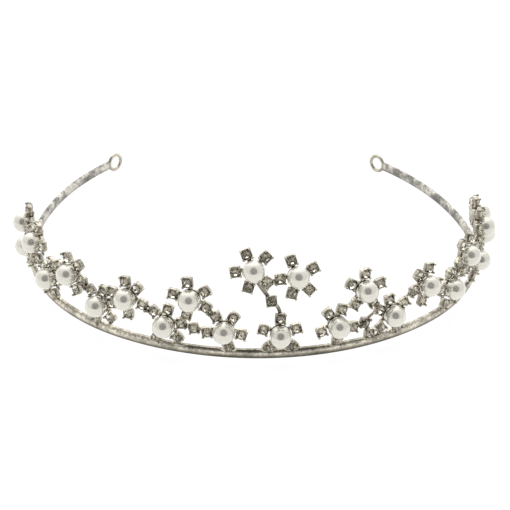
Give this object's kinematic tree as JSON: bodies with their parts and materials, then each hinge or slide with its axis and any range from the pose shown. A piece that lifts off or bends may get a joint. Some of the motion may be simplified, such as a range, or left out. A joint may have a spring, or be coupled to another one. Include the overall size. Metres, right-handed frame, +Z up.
{
  "type": "bridal tiara",
  "caption": "Bridal tiara: half-round silver band with ring ends, a zigzag screen of pearl flowers with claw-set rhinestones, and a small flower crest on a wire stem.",
  "frame": {"origin": "on the surface that the tiara rests on, under the middle of its bounding box", "axes": "+X across the head from the left of someone facing the tiara to their right, +Y back over the head, +Z up"},
  "size_m": [0.151, 0.1325, 0.0353],
  "materials": {
    "aged_silver": "worn silver plate, a little tarnished",
    "bright_silver": "bright silver plate",
    "pearl": "cream lustre",
    "rhinestone": "faceted and foiled behind"
  },
  "bodies": {
    "root": {"band": "aged_silver", "left_end_ring": "bright_silver", "right_end_ring": "bright_silver", "centre_flower_mount": "aged_silver", "left_flower_1_mount": "aged_silver", "left_flower_2_mount": "aged_silver", "left_flower_3_mount": "aged_silver", "left_flower_4_mount": "aged_silver", "left_flower_5_mount": "aged_silver", "left_flower_6_mount": "aged_silver", "left_flower_7_mount": "aged_silver", "left_flower_8_mount": "aged_silver", "left_flower_9_mount": "aged_silver", "left_flower_10_mount": "aged_silver", "right_flower_1_mount": "aged_silver", "right_flower_2_mount": "aged_silver", "right_flower_3_mount": "aged_silver", "right_flower_4_mount": "aged_silver", "right_flower_5_mount": "aged_silver", "right_flower_6_mount": "aged_silver", "right_flower_7_mount": "aged_silver", "right_flower_8_mount": "aged_silver", "right_flower_9_mount": "aged_silver", "right_flower_10_mount": "aged_silver", "crest_left_flower_mount": "aged_silver", "crest_right_flower_mount": "aged_silver", "centre_flower_pearl": "pearl", "left_flower_1_pearl": "pearl", "left_flower_2_pearl": "pearl", "left_flower_3_pearl": "pearl", "left_flower_4_pearl": "pearl", "left_flower_5_pearl": "pearl", "left_flower_6_pearl": "pearl", "left_flower_7_pearl": "pearl", "left_flower_8_pearl": "pearl", "left_flower_9_pearl": "pearl", "left_flower_10_pearl": "pearl", "right_flower_1_pearl": "pearl", "right_flower_2_pearl": "pearl", "right_flower_3_pearl": "pearl", "right_flower_4_pearl": "pearl", "right_flower_5_pearl": "pearl", "right_flower_6_pearl": "pearl", "right_flower_7_pearl": "pearl", "right_flower_8_pearl": "pearl", "right_flower_9_pearl": "pearl", "right_flower_10_pearl": "pearl", "crest_left_flower_pearl": "pearl", "crest_right_flower_pearl": "pearl", "centre_stones": "rhinestone", "crest_stones": "rhinestone", "left_stones": "rhinestone", "right_stones": "rhinestone", "link_stones": "rhinestone", "left_link_setting": "aged_silver", "right_link_settings": "aged_silver", "crest_stem": "aged_silver", "left_bridges": "aged_silver", "right_bridges": "aged_silver", "crest_bridge": "aged_silver"}
  },
  "joints": []
}
